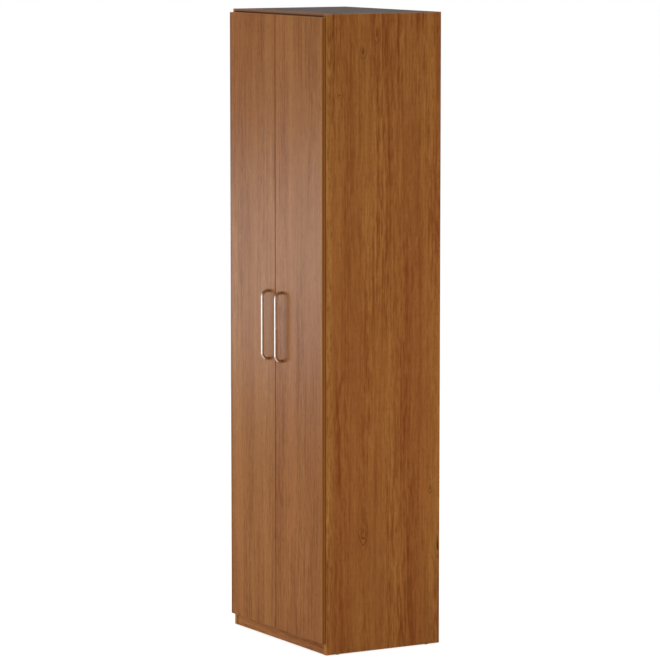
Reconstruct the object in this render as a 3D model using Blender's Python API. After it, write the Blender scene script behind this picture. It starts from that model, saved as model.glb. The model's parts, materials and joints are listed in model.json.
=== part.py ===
"""Tall two-door wardrobe: a glued board carcass with a hat shelf and a clothes rail, and two
overlay doors on concealed cup hinges with bow handles. Metres, +Z up, the doors face -Y."""

from math import cos, pi, radians, sin

import bmesh
import bpy
from mathutils import Matrix, Vector
from mathutils.geometry import convex_hull_2d

# Fits
FIT = 0.0003  # gap between pieces that touch
DOWEL_END_GAP = 0.0005  # room past the end of a pin in its blind hole

# Carcass boards
WIDTH = 0.600
HEIGHT = 2.020
CARCASS_DEPTH = 0.418
BOARD = 0.016
BOARD_ARRIS = 0.0004
GLIDE_HEIGHT = 0.002
PLINTH_HEIGHT = 0.040
PLINTH_RECESS = 0.002
HAT_SHELF_HEIGHT = 1.660
HAT_SHELF_SETBACK = 0.022

# Glued dowels at the ends of the boards
DOWEL_RADIUS = 0.004
DOWEL_REACH = 0.0115
DOWEL_MARGIN = 0.050

# Back panel in its grooves
BACK_THICKNESS = 0.004
BACK_INSET = 0.012
GROOVE_DEPTH = 0.007

# Nailed glides under the side panels
GLIDE_RADIUS = 0.0065
GLIDE_MARGIN = 0.045
NAIL_RADIUS = 0.0012
NAIL_LENGTH = 0.014

# Clothes rail, which runs from front to back under the hat shelf
RAIL_RADIUS = 0.0125
RAIL_WALL = 0.0015
RAIL_DROP = 0.055
RAIL_FRONT_MARGIN = 0.030
RAIL_REAR_MARGIN = 0.014
SOCKET_LENGTH = 0.016
SOCKET_WALL = 0.0025
NECK_WIDTH = 0.018
FLANGE_WIDTH = 0.056
FLANGE_THICKNESS = 0.0025
RAIL_SCREW_SPACING = 0.038
WOOD_SCREW_RADIUS = 0.0016
WOOD_SCREW_LENGTH = 0.012
WOOD_SCREW_HEAD_RADIUS = 0.0035
WOOD_SCREW_HEAD = 0.0018

# Doors
DOOR_THICKNESS = 0.012
DOOR_GAP = 0.002
DOOR_ARRIS = 0.001
DOOR_SIDE_REVEAL = 0.0015
DOOR_TOP_REVEAL = 0.011
DOOR_BOTTOM = 0.040
DOOR_MEETING_GAP = 0.003
BUMPER_RADIUS = 0.0022
BUMPER_OFFSET = 0.025

# Bow handles
HANDLE_RADIUS = 0.005
HANDLE_STANDOFF = 0.023
HANDLE_SPACING = 0.218
HANDLE_BEND = 0.017
HANDLE_OFFSET = 0.043
HANDLE_HEIGHT = 1.020
HANDLE_SCREW_RADIUS = 0.002
HANDLE_SCREW_BITE = 0.009
HANDLE_SCREW_HEAD_RADIUS = 0.004
HANDLE_SCREW_HEAD = 0.002

# Concealed hinges
HINGES_PER_DOOR = 4
HINGE_MARGIN = 0.105
PIN_INSET = 0.0058  # from the door's outer edge to the pin
PIN_DEPTH = 0.0065  # from the door's back face to the pin
PIN_RADIUS = 0.001
PIN_HALF_LENGTH = 0.006
EYE_RADIUS = 0.002
EYE_HALF_WIDTH = 0.0034
CUP_RADIUS = 0.013
CUP_EDGE = 0.0022  # from the door's outer edge to the cup's bore
CUP_FLOOR = 0.0007
CUP_FLANGE = 0.001
CUP_FLANGE_RIM = 0.0009
CUP_FLANGE_SETBACK = 0.0050  # from the door's outer edge to the flange
CUP_PLUG_RADIUS = 0.0035
CUP_PLUG_DEPTH = 0.0075
CUP_PLUG_SPACING = 0.038
CUP_PLUG_SHIFT = 0.0035
CUP_EAR = 0.0016
POCKET_SIDE_GAP = 0.0004
POCKET_LENGTH = 0.0175
ARM_HALF_WIDTH = 0.0048
ARM_STEEL = 0.0014
ARM_SIDE_GAP = 0.0018
ARM_SHOULDER = 0.013
ARM_LENGTH = 0.058
PLATE_THICKNESS = 0.0022
PLATE_SETBACK = 0.037  # from the carcass front to the line of the plate's screws
PLATE_WING_LENGTH = 0.050
PLATE_WING_WIDTH = 0.015
PLATE_SCREW_SPACING = 0.032
PLATE_SCREW_RADIUS = 0.0025
PLATE_SCREW_REACH = 0.011
PLATE_SCREW_HEAD_RADIUS = 0.0040
PLATE_SCREW_HEAD = 0.0012
RIB_HEIGHT = 0.0047
RIB_FRONT = 0.017
RIB_REAR = 0.056

# Facets
SMALL_SIDES = 8
ROUND_SIDES = 12
RAIL_SIDES = 20
CUP_SIDES = 24
BEND_STEPS = 6

# Levels along Y, with the object centred on the origin
DEPTH = HANDLE_STANDOFF + HANDLE_RADIUS + DOOR_THICKNESS + DOOR_GAP + CARCASS_DEPTH
REAR = DEPTH / 2
CARCASS_FRONT = REAR - CARCASS_DEPTH
DOOR_BACK = CARCASS_FRONT - DOOR_GAP
DOOR_FRONT = DOOR_BACK - DOOR_THICKNESS
BACK_PANEL_REAR = REAR - BACK_INSET
BACK_PANEL_FRONT = BACK_PANEL_REAR - BACK_THICKNESS

# Levels along X and Z
INNER = WIDTH / 2 - BOARD
BOARD_END = INNER - FIT
DOOR_OUTER = WIDTH / 2 - DOOR_SIDE_REVEAL
DOOR_TOP = HEIGHT - DOOR_TOP_REVEAL
BOTTOM_PANEL = GLIDE_HEIGHT + PLINTH_HEIGHT + FIT
TOP_PANEL = HEIGHT - BOARD
RAIL_HEIGHT = HAT_SHELF_HEIGHT - RAIL_DROP

# Hinge pin
PIN_X = DOOR_OUTER - PIN_INSET
PIN_Y = DOOR_BACK - PIN_DEPTH

SIDES = {"left": -1, "right": 1}


def clear_scene():
    for obj in list(bpy.data.objects):
        bpy.data.objects.remove(obj)


def material(name, colour, roughness, metallic=0.0):
    found = bpy.data.materials.new(name)
    found.use_nodes = True
    shader = found.node_tree.nodes["Principled BSDF"]
    shader.inputs["Base Color"].default_value = (*colour, 1.0)
    shader.inputs["Roughness"].default_value = roughness
    shader.inputs["Metallic"].default_value = metallic
    return found


def block(low, high, arris=0.0):
    """Box between two corners, with its edges broken by the arris."""
    shape = bmesh.new()
    low = Vector(low)
    high = Vector(high)
    size = Matrix.Diagonal((*(high - low), 1.0))
    bmesh.ops.create_cube(shape, size=1.0, matrix=Matrix.Translation((low + high) / 2) @ size)
    if arris:
        bmesh.ops.bevel(shape, geom=shape.edges[:], offset=arris, affect="EDGES")
    return shape


def extrusion(outline, along):
    """Closed prism: the outline's points, moved along a vector."""
    shape = bmesh.new()
    face = shape.faces.new([shape.verts.new(point) for point in outline])
    swept = bmesh.ops.extrude_face_region(shape, geom=[face])
    moved = [item for item in swept["geom"] if isinstance(item, bmesh.types.BMVert)]
    bmesh.ops.translate(shape, verts=moved, vec=along)
    bmesh.ops.recalc_face_normals(shape, faces=shape.faces[:])
    return shape


def circle(centre, radius, sides):
    """Points of a circle in a plane, as pairs."""
    turns = [2 * pi * step / sides for step in range(sides)]
    return [(centre[0] + radius * cos(turn), centre[1] + radius * sin(turn)) for turn in turns]


def rod(start, end, radius, sides):
    """Round bar between two points that lie along one axis."""
    start = Vector(start)
    along = Vector(end) - start
    axis = max(range(3), key=lambda index: abs(along[index]))
    first, second = [index for index in range(3) if index != axis]
    outline = []
    for across, up in circle((start[first], start[second]), radius, sides):
        point = start.copy()
        point[first] = across
        point[second] = up
        outline.append(point)
    return extrusion(outline, along)


def sweep(path, radius, sides, across):
    """Round bar along a flat path, whose plane is square to the vector across."""
    shape = bmesh.new()
    rings = []
    for index, point in enumerate(path):
        before = path[max(index - 1, 0)]
        after = path[min(index + 1, len(path) - 1)]
        outward = across.cross(after - before).normalized()
        ring = circle((0, 0), radius, sides)
        rings.append([shape.verts.new(point + across * a + outward * b) for a, b in ring])
    for ring, following in zip(rings, rings[1:]):
        for side in range(sides):
            after = (side + 1) % sides
            shape.faces.new((ring[side], ring[after], following[after], following[side]))
    shape.faces.new(rings[0])
    shape.faces.new(rings[-1])
    bmesh.ops.recalc_face_normals(shape, faces=shape.faces[:])
    return shape


def mesh_of(*shapes):
    """One mesh of one or more closed shapes."""
    mesh = bpy.data.meshes.new("shape")
    whole = bmesh.new()
    for shape in shapes:
        shape.to_mesh(mesh)
        shape.free()
        whole.from_mesh(mesh)
    whole.to_mesh(mesh)
    whole.free()
    return mesh


def linked(name, mesh):
    obj = bpy.data.objects.new(name, mesh)
    bpy.context.collection.objects.link(obj)
    return obj


def solid(base, adds=(), cuts=()):
    """Mesh of the base shape, joined with the adds and then cut by the cuts."""
    body = linked("body", mesh_of(base))
    helpers = []
    for operation, shapes in (("UNION", adds), ("DIFFERENCE", cuts)):
        if shapes:
            modifier = body.modifiers.new(operation, "BOOLEAN")
            modifier.operation = operation
            modifier.use_self = True
            modifier.object = linked("helper", mesh_of(*shapes))
            helpers.append(modifier.object)
    graph = bpy.context.evaluated_depsgraph_get()
    mesh = bpy.data.meshes.new_from_object(body.evaluated_get(graph))
    for used in (body, *helpers):
        bpy.data.objects.remove(used)
    return mesh


def mirrored(mesh):
    """The same mesh for the other side of the wardrobe."""
    other = mesh.copy()
    other.transform(Matrix.Diagonal((-1.0, 1.0, 1.0, 1.0)))
    other.flip_normals()
    return other


def part(name, mesh, finish, carrier=None, place=(0.0, 0.0, 0.0)):
    """Object of one piece. Its place is in the world, also under a carrier."""
    mesh.name = name
    mesh.materials.append(finish)
    mesh.shade_smooth()
    mesh.set_sharp_from_angle(angle=radians(35))
    obj = linked(name, mesh)
    obj.location = place
    if carrier:
        obj.parent = carrier
        obj.matrix_parent_inverse = Matrix.Translation(-carrier.location)
    return obj


def spread(low, high, count):
    return [low + (high - low) * step / (count - 1) for step in range(count)]


def dowel_rows():
    """Y and Z of the dowels at each end of the boards, by board."""
    front = CARCASS_FRONT + DOWEL_MARGIN
    rear = BACK_PANEL_FRONT - DOWEL_MARGIN
    levels = {
        "top_panel": (spread(front, rear, 3), TOP_PANEL + BOARD / 2),
        "bottom_panel": (spread(front, rear, 3), BOTTOM_PANEL + BOARD / 2),
        "hat_shelf": (spread(front, rear, 3), HAT_SHELF_HEIGHT + BOARD / 2),
        "plinth_board": (
            [CARCASS_FRONT + PLINTH_RECESS + BOARD / 2],
            GLIDE_HEIGHT + PLINTH_HEIGHT / 2,
        ),
    }
    return {board: [(y, z) for y in row] for board, (row, z) in levels.items()}


def dowels(board):
    """Stubs that stand out of both ends of a board, into the side panels."""
    stubs = []
    for y, z in dowel_rows()[board]:
        for side in SIDES.values():
            start = (side * (BOARD_END - DOWEL_REACH), y, z)
            end = (side * (INNER + DOWEL_REACH), y, z)
            stubs.append(rod(start, end, DOWEL_RADIUS - FIT, SMALL_SIDES))
    return stubs


def back_groove():
    """The groove that the back panel sits in, as one block."""
    low = (-INNER - GROOVE_DEPTH, BACK_PANEL_FRONT - FIT, BOTTOM_PANEL + BOARD - GROOVE_DEPTH)
    high = (INNER + GROOVE_DEPTH, BACK_PANEL_REAR + FIT, TOP_PANEL + GROOVE_DEPTH)
    return block(low, high)


def hinge_heights():
    return spread(DOOR_BOTTOM + HINGE_MARGIN, DOOR_TOP - HINGE_MARGIN, HINGES_PER_DOOR)


def glide_places():
    return {"front": CARCASS_FRONT + GLIDE_MARGIN, "rear": REAR - GLIDE_MARGIN}


def make_side_panel(name, side, finish):
    low = (min(side * INNER, side * WIDTH / 2), CARCASS_FRONT, GLIDE_HEIGHT)
    high = (max(side * INNER, side * WIDTH / 2), REAR, HEIGHT)
    cuts = [back_groove()]
    for row in dowel_rows().values():
        for y, z in row:
            end = (side * (INNER + DOWEL_REACH + DOWEL_END_GAP), y, z)
            cuts.append(rod((0, y, z), end, DOWEL_RADIUS, SMALL_SIDES))
    screw_y = CARCASS_FRONT + PLATE_SETBACK
    for height in hinge_heights():
        for shift in (-PLATE_SCREW_SPACING / 2, PLATE_SCREW_SPACING / 2):
            start = (0, screw_y, height + shift)
            end = (side * (INNER + PLATE_SCREW_REACH + DOWEL_END_GAP), screw_y, height + shift)
            cuts.append(rod(start, end, PLATE_SCREW_RADIUS + FIT, SMALL_SIDES))
    middle = side * (WIDTH - BOARD) / 2
    for y in glide_places().values():
        top = (middle, y, GLIDE_HEIGHT + NAIL_LENGTH + DOWEL_END_GAP)
        cuts.append(rod((middle, y, 0), top, NAIL_RADIUS + FIT, SMALL_SIDES))
    part(name, solid(block(low, high, BOARD_ARRIS), cuts=cuts), finish)


def make_cross_board(name, low, high, finish, cuts=()):
    """Board between the side panels, given by its Y and Z levels."""
    base = block((-BOARD_END, *low), (BOARD_END, *high), BOARD_ARRIS)
    part(name, solid(base, dowels(name), cuts), finish)


def rail_ends():
    """Y of the rail's front and rear sockets, at their outer faces."""
    front = CARCASS_FRONT + HAT_SHELF_SETBACK + RAIL_FRONT_MARGIN
    return front, BACK_PANEL_FRONT - RAIL_REAR_MARGIN


def rail_screw_places():
    """X and Y of the screws of both sockets, by name."""
    front, rear = rail_ends()
    rows = {"front": front + SOCKET_LENGTH / 2, "rear": rear - SOCKET_LENGTH / 2}
    places = {}
    for row, y in rows.items():
        for hand, side in SIDES.items():
            places[f"{row}_{hand}"] = (side * RAIL_SCREW_SPACING / 2, y)
    return places


def make_carcass(wood, hardboard):
    for hand, side in SIDES.items():
        make_side_panel(f"side_panel_{hand}", side, wood)
    make_cross_board(
        "top_panel", (CARCASS_FRONT, TOP_PANEL), (REAR, HEIGHT), wood, [back_groove()]
    )
    make_cross_board(
        "bottom_panel",
        (CARCASS_FRONT, BOTTOM_PANEL),
        (REAR, BOTTOM_PANEL + BOARD),
        wood,
        [back_groove()],
    )
    plinth_front = CARCASS_FRONT + PLINTH_RECESS
    make_cross_board(
        "plinth_board",
        (plinth_front, GLIDE_HEIGHT),
        (plinth_front + BOARD, GLIDE_HEIGHT + PLINTH_HEIGHT),
        wood,
    )
    holes = []
    for x, y in rail_screw_places().values():
        end = (x, y, HAT_SHELF_HEIGHT + WOOD_SCREW_LENGTH)
        holes.append(rod((x, y, RAIL_HEIGHT), end, WOOD_SCREW_RADIUS + FIT, SMALL_SIDES))
    make_cross_board(
        "hat_shelf",
        (CARCASS_FRONT + HAT_SHELF_SETBACK, HAT_SHELF_HEIGHT),
        (BACK_PANEL_FRONT - FIT, HAT_SHELF_HEIGHT + BOARD),
        wood,
        holes,
    )
    reach = INNER + GROOVE_DEPTH - FIT
    low = (-reach, BACK_PANEL_FRONT, BOTTOM_PANEL + BOARD - GROOVE_DEPTH + FIT)
    high = (reach, BACK_PANEL_REAR, TOP_PANEL + GROOVE_DEPTH - FIT)
    part("back_panel", solid(block(low, high)), hardboard)


def make_glides(plastic):
    for hand, side in SIDES.items():
        x = side * (WIDTH - BOARD) / 2
        for row, y in glide_places().items():
            pad = rod((x, y, 0), (x, y, GLIDE_HEIGHT - FIT), GLIDE_RADIUS, ROUND_SIDES)
            start = (x, y, GLIDE_HEIGHT / 2)
            nail = rod(start, (x, y, GLIDE_HEIGHT + NAIL_LENGTH), NAIL_RADIUS, SMALL_SIDES)
            part(f"floor_glide_{row}_{hand}", solid(pad, [nail]), plastic)


def make_rail(chrome, steel):
    front, rear = rail_ends()
    start = front + SOCKET_WALL + FIT
    end = rear - SOCKET_WALL - FIT
    tube = rod((0, start, RAIL_HEIGHT), (0, end, RAIL_HEIGHT), RAIL_RADIUS, RAIL_SIDES)
    bore_radius = RAIL_RADIUS - RAIL_WALL
    past = SOCKET_LENGTH
    bore = rod(
        (0, start - past, RAIL_HEIGHT), (0, end + past, RAIL_HEIGHT), bore_radius, RAIL_SIDES
    )
    part("clothes_rail", solid(tube, cuts=[bore]), chrome)
    make_rail_socket("rail_socket_front", front, 1, chrome)
    make_rail_socket("rail_socket_rear", rear, -1, chrome)
    for name, (x, y) in rail_screw_places().items():
        make_rail_screw(f"rail_screw_{name}", x, y, steel)


def make_rail_socket(name, outer, inward, finish):
    """Closed cup round an end of the rail, hung from a flange under the hat shelf."""
    inner = outer + inward * SOCKET_LENGTH
    low_y, high_y = sorted((outer, inner))
    under = HAT_SHELF_HEIGHT - FIT
    radius = RAIL_RADIUS + FIT + SOCKET_WALL
    cup = rod((0, low_y, RAIL_HEIGHT), (0, high_y, RAIL_HEIGHT), radius, RAIL_SIDES)
    neck = block((-NECK_WIDTH / 2, low_y, RAIL_HEIGHT), (NECK_WIDTH / 2, high_y, under))
    flange = block(
        (-FLANGE_WIDTH / 2, low_y, under - FLANGE_THICKNESS), (FLANGE_WIDTH / 2, high_y, under)
    )
    seat_start = (0, outer + inward * SOCKET_WALL, RAIL_HEIGHT)
    seat_end = (0, inner + inward * SOCKET_LENGTH, RAIL_HEIGHT)
    cuts = [rod(seat_start, seat_end, RAIL_RADIUS + FIT, RAIL_SIDES)]
    for side in SIDES.values():
        x = side * RAIL_SCREW_SPACING / 2
        y = (low_y + high_y) / 2
        start = (x, y, RAIL_HEIGHT)
        end = (x, y, HAT_SHELF_HEIGHT + BOARD)
        cuts.append(rod(start, end, WOOD_SCREW_RADIUS + FIT, SMALL_SIDES))
    part(name, solid(cup, [neck, flange], cuts), finish)


def make_rail_screw(name, x, y, finish):
    seat = HAT_SHELF_HEIGHT - FIT - FLANGE_THICKNESS - FIT
    head = rod((x, y, seat - WOOD_SCREW_HEAD), (x, y, seat), WOOD_SCREW_HEAD_RADIUS, ROUND_SIDES)
    end = (x, y, HAT_SHELF_HEIGHT + WOOD_SCREW_LENGTH - DOWEL_END_GAP)
    shank = rod((x, y, seat - WOOD_SCREW_HEAD / 2), end, WOOD_SCREW_RADIUS, SMALL_SIDES)
    part(name, solid(head, [shank]), finish)


def handle_levels():
    half = HANDLE_SPACING / 2
    return {"lower": HANDLE_HEIGHT - half, "upper": HANDLE_HEIGHT + half}


def cup_plug_places():
    """X inward from the pin, and Z from the hinge's middle, of the cup's two plugs."""
    x = CUP_EDGE + CUP_RADIUS + CUP_PLUG_SHIFT - PIN_INSET
    return [(x, -CUP_PLUG_SPACING / 2), (x, CUP_PLUG_SPACING / 2)]


def cup_depth():
    """From the door's back face to the outside of the cup's floor."""
    return PIN_DEPTH + EYE_RADIUS + FIT + CUP_FLOOR


def make_door(name, side, carrier, finish):
    edges = sorted((side * DOOR_MEETING_GAP / 2, side * DOOR_OUTER))
    low = (edges[0], DOOR_FRONT, DOOR_BOTTOM)
    high = (edges[1], DOOR_BACK, DOOR_TOP)
    cuts = []
    outside = DOOR_BACK + DOOR_GAP
    cup_x = side * (DOOR_OUTER - CUP_EDGE - CUP_RADIUS)
    for height in hinge_heights():
        floor = (cup_x, DOOR_BACK - cup_depth() - FIT, height)
        cuts.append(rod((cup_x, outside, height), floor, CUP_RADIUS, CUP_SIDES))
        for inward, up in cup_plug_places():
            x = side * (PIN_X - inward)
            end = (x, DOOR_BACK - CUP_PLUG_DEPTH - DOWEL_END_GAP, height + up)
            start = (x, outside, height + up)
            cuts.append(rod(start, end, CUP_PLUG_RADIUS + FIT, SMALL_SIDES))
    for z in handle_levels().values():
        start = (side * HANDLE_OFFSET, outside, z)
        end = (side * HANDLE_OFFSET, DOOR_FRONT - DOOR_GAP, z)
        cuts.append(rod(start, end, HANDLE_SCREW_RADIUS + FIT, SMALL_SIDES))
    part(name, solid(block(low, high, DOOR_ARRIS), cuts=cuts), finish, carrier)


def handle_path(x):
    """Centre line of a bow handle: out from the door, along it and back."""
    foot = DOOR_FRONT - FIT
    bar = DOOR_FRONT - HANDLE_STANDOFF
    levels = handle_levels()
    points = [Vector((x, foot, levels["lower"]))]
    for level, inward in ((levels["lower"], 1), (levels["upper"], -1)):
        bend = []
        for step in range(BEND_STEPS + 1):
            turn = pi / 2 * step / BEND_STEPS
            y = bar + HANDLE_BEND * (1 - sin(turn))
            z = level + inward * HANDLE_BEND * (1 - cos(turn))
            bend.append(Vector((x, y, z)))
        points += bend if inward > 0 else bend[::-1]
    points.append(Vector((x, foot, levels["upper"])))
    return points


def make_handle(hand, side, carrier, chrome, steel):
    x = side * HANDLE_OFFSET
    bar = sweep(handle_path(x), HANDLE_RADIUS, ROUND_SIDES, Vector((1.0, 0.0, 0.0)))
    foot = DOOR_FRONT - FIT
    bores = []
    for level, z in handle_levels().items():
        bore_end = (x, foot - HANDLE_SCREW_BITE, z)
        bores.append(rod((x, DOOR_FRONT, z), bore_end, HANDLE_SCREW_RADIUS + FIT, SMALL_SIDES))
        head_start = (x, DOOR_BACK + FIT, z)
        head_end = (x, DOOR_BACK + FIT + HANDLE_SCREW_HEAD, z)
        head = rod(head_start, head_end, HANDLE_SCREW_HEAD_RADIUS, ROUND_SIDES)
        shank_start = (x, DOOR_BACK + FIT + HANDLE_SCREW_HEAD / 2, z)
        shank_end = (x, foot - HANDLE_SCREW_BITE + DOWEL_END_GAP, z)
        shank = rod(shank_start, shank_end, HANDLE_SCREW_RADIUS, SMALL_SIDES)
        part(f"handle_screw_{level}_{hand}", solid(head, [shank]), steel, carrier)
    part(f"handle_{hand}", solid(bar, cuts=bores), chrome, carrier)


# The hinge pieces below are drawn for the right door about the pin: X runs outward from the
# pin, Y runs back into the wardrobe, and Z is measured from the hinge's middle.
def inward(distance):
    """X of a point that lies this far in from the door's outer edge."""
    return PIN_INSET - distance


def behind(distance):
    """Y of a point that lies this far behind the door's back face."""
    return PIN_DEPTH + distance


def hinge_cup():
    centre = inward(CUP_EDGE + CUP_RADIUS)
    floor = behind(-cup_depth())
    flange_seat = behind(FIT)
    flange_top = behind(FIT + CUP_FLANGE)
    body = rod((centre, floor, 0), (centre, flange_top, 0), CUP_RADIUS - FIT, CUP_SIDES)
    rim = circle((centre, 0), CUP_RADIUS + CUP_FLANGE_RIM, CUP_SIDES)
    limit = inward(CUP_FLANGE_SETBACK)
    points = [(min(x, limit), z) for x, z in rim]
    plugs = []
    for distance, z in cup_plug_places():
        points += circle((-distance, z), CUP_PLUG_RADIUS + CUP_EAR, ROUND_SIDES)
        plug_end = (-distance, behind(-CUP_PLUG_DEPTH), z)
        plug_start = (-distance, (flange_seat + flange_top) / 2, z)
        plugs.append(rod(plug_start, plug_end, CUP_PLUG_RADIUS, SMALL_SIDES))
    outline = [(points[i][0], flange_seat, points[i][1]) for i in convex_hull_2d(points)]
    flange = extrusion(outline, (0, CUP_FLANGE, 0))
    above = flange_top + CUP_FLANGE
    pocket_half = EYE_HALF_WIDTH + POCKET_SIDE_GAP
    pocket_start = EYE_RADIUS + FIT
    low = (pocket_start - POCKET_LENGTH, floor + CUP_FLOOR, -pocket_half)
    pocket = block(low, (pocket_start, above, pocket_half))
    bare_rim = block((limit, behind(0), -CUP_RADIUS), (inward(0), above, CUP_RADIUS))
    reach = PIN_HALF_LENGTH + FIT
    pin_hole = rod((0, 0, -reach), (0, 0, reach), PIN_RADIUS + FIT, ROUND_SIDES)
    return solid(body, [flange, *plugs], [pocket, bare_rim, pin_hole])


def plate_floor():
    """X of the plate's seat on the side panel, from the pin."""
    return INNER - FIT - PIN_X


def hinge_arm():
    """Cranked arm: an eye on the pin, a neck out of the cup and a channel over the plate."""
    half = ARM_STEEL / 2
    neck_outer = INNER - ARM_SIDE_GAP - PIN_X
    neck_inner = neck_outer - ARM_STEEL
    channel_floor = plate_floor() - PLATE_THICKNESS - FIT
    roof = plate_floor() - PLATE_THICKNESS - RIB_HEIGHT - FIT - ARM_STEEL
    mouth = behind(DOOR_GAP)
    shoulder = behind(ARM_SHOULDER)
    end = behind(ARM_LENGTH)
    profile = [
        (-PIN_RADIUS, -half),
        (neck_inner, -half),
        (neck_inner, mouth),
        (roof, shoulder),
        (roof, end),
        (channel_floor, end),
        (channel_floor, shoulder),
        (neck_outer, mouth + ARM_STEEL),
        (neck_outer, half),
        (-PIN_RADIUS, half),
    ]
    outline = [(x, y, -ARM_HALF_WIDTH) for x, y in profile]
    body = extrusion(outline, (0, 0, 2 * ARM_HALF_WIDTH))
    past = 2 * ARM_HALF_WIDTH
    blank = (EYE_HALF_WIDTH + ARM_HALF_WIDTH) / 2
    eye = rod((0, 0, -blank), (0, 0, blank), EYE_RADIUS, ROUND_SIDES)
    bore = rod((0, 0, -past), (0, 0, past), PIN_RADIUS + FIT, ROUND_SIDES)
    wall = ARM_HALF_WIDTH - ARM_STEEL
    channel = block(
        (roof + ARM_STEEL, shoulder + ARM_STEEL, -wall), (PIN_INSET, end + past, wall)
    )
    tongue_end = behind(FIT + CUP_FLANGE + FIT)
    tongue_cuts = []
    for low_z, high_z in ((-past, -EYE_HALF_WIDTH), (EYE_HALF_WIDTH, past)):
        tongue_cuts.append(block((roof, -past, low_z), (past, tongue_end, high_z)))
    return solid(body, [eye], [bore, channel, *tongue_cuts])


def hinge_plate():
    """Cross plate on the side panel, with its two screws driven in."""
    seat = plate_floor()
    face = seat - PLATE_THICKNESS
    screw_y = CARCASS_FRONT + PLATE_SETBACK - PIN_Y
    wing = block(
        (face, screw_y - PLATE_WING_WIDTH / 2, -PLATE_WING_LENGTH / 2),
        (seat, screw_y + PLATE_WING_WIDTH / 2, PLATE_WING_LENGTH / 2),
    )
    rib_half = ARM_HALF_WIDTH - ARM_STEEL - FIT
    rib = block((face - RIB_HEIGHT, behind(RIB_FRONT), -rib_half), (seat, behind(RIB_REAR), rib_half))
    adds = [rib]
    for z in (-PLATE_SCREW_SPACING / 2, PLATE_SCREW_SPACING / 2):
        middle = (seat + face) / 2
        top = (face - PLATE_SCREW_HEAD, screw_y, z)
        adds.append(rod((middle, screw_y, z), top, PLATE_SCREW_HEAD_RADIUS, ROUND_SIDES))
        end = (INNER + PLATE_SCREW_REACH - PIN_X, screw_y, z)
        adds.append(rod((middle, screw_y, z), end, PLATE_SCREW_RADIUS, SMALL_SIDES))
    return solid(wing, adds)


def hinge_pin():
    reach = PIN_HALF_LENGTH
    return solid(rod((0, 0, -reach), (0, 0, reach), PIN_RADIUS, ROUND_SIDES))


def make_hinges(hand, side, carrier, pieces, finish):
    """One set of pieces at each height. The cup and its pin swing with the door."""
    for number, height in enumerate(hinge_heights(), start=1):
        for piece, (mesh, swings) in pieces.items():
            name = f"hinge_{piece}_{hand}_{number}"
            place = (side * PIN_X, PIN_Y, height)
            part(name, mesh.copy(), finish, carrier if swings else None, place)


def make_bumper(hand, side, rubber):
    x = side * BUMPER_OFFSET
    z = (TOP_PANEL + DOOR_TOP) / 2
    start = (x, DOOR_BACK + FIT, z)
    end = (x, CARCASS_FRONT - FIT, z)
    part(f"door_bumper_{hand}", solid(rod(start, end, BUMPER_RADIUS, ROUND_SIDES)), rubber)


def door_axis(hand, side):
    """Empty on the hinge pins' line, which carries all that swings with the door."""
    axis = bpy.data.objects.new(f"door_axis_{hand}", None)
    bpy.context.collection.objects.link(axis)
    axis.location = (side * PIN_X, PIN_Y, (DOOR_BOTTOM + DOOR_TOP) / 2)
    return axis


def main():
    clear_scene()
    wood = material("brown_wood_laminate", (0.28, 0.12, 0.045), 0.35)
    hardboard = material("brown_hardboard", (0.20, 0.09, 0.04), 0.6)
    chrome = material("polished_chrome", (0.80, 0.80, 0.80), 0.08, 1.0)
    nickel = material("nickel_plated_steel", (0.62, 0.60, 0.56), 0.25, 1.0)
    steel = material("zinc_plated_steel", (0.55, 0.55, 0.56), 0.35, 1.0)
    plastic = material("dark_brown_plastic", (0.05, 0.03, 0.02), 0.5)
    rubber = material("clear_grey_rubber", (0.45, 0.45, 0.44), 0.5)

    make_carcass(wood, hardboard)
    make_glides(plastic)
    make_rail(chrome, steel)
    pieces = {
        "cup": (hinge_cup(), True),
        "pin": (hinge_pin(), True),
        "arm": (hinge_arm(), False),
        "plate": (hinge_plate(), False),
    }
    for hand, side in SIDES.items():
        axis = door_axis(hand, side)
        make_door(f"door_{hand}", side, axis, wood)
        make_handle(hand, side, axis, chrome, steel)
        make_bumper(hand, side, rubber)
        own = pieces
        if side < 0:
            own = {piece: (mirrored(mesh), swings) for piece, (mesh, swings) in pieces.items()}
        make_hinges(hand, side, axis, own, nickel)


main()
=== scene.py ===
# %% [markdown]
# # A tall wardrobe in brown wood laminate
# This lesson dresses a finished CAD model of a wardrobe with two doors. The CAD boards, hinges and
# fittings are already the right size and in the right place, so most of the work is on surfaces:
# wood that shows its grain, edge bands, bright chrome. Pieces whose roundness shows, such as the
# handles, are made again as smooth surfaces, and the hinges get rounded edges.

# %% Load the frame
import json
from math import pi, radians, tan

import bmesh
import bpy
import numpy as np
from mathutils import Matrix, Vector


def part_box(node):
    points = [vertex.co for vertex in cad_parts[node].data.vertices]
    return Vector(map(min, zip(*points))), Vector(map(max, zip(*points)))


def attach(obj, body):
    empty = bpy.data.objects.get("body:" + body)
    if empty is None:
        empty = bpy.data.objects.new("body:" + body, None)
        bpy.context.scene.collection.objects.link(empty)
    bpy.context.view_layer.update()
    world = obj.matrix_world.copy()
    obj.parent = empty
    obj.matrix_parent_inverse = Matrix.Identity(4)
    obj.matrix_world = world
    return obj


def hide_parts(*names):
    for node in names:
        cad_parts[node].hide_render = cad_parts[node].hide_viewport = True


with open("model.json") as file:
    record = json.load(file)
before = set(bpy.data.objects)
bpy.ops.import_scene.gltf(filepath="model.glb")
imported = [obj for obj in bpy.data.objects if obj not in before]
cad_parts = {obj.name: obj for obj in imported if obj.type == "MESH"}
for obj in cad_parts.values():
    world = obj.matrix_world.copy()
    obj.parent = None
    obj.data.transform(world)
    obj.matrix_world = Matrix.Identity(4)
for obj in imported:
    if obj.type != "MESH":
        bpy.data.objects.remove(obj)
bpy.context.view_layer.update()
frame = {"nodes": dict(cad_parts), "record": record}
nodes = frame["nodes"]
scene = bpy.context.scene

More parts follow.
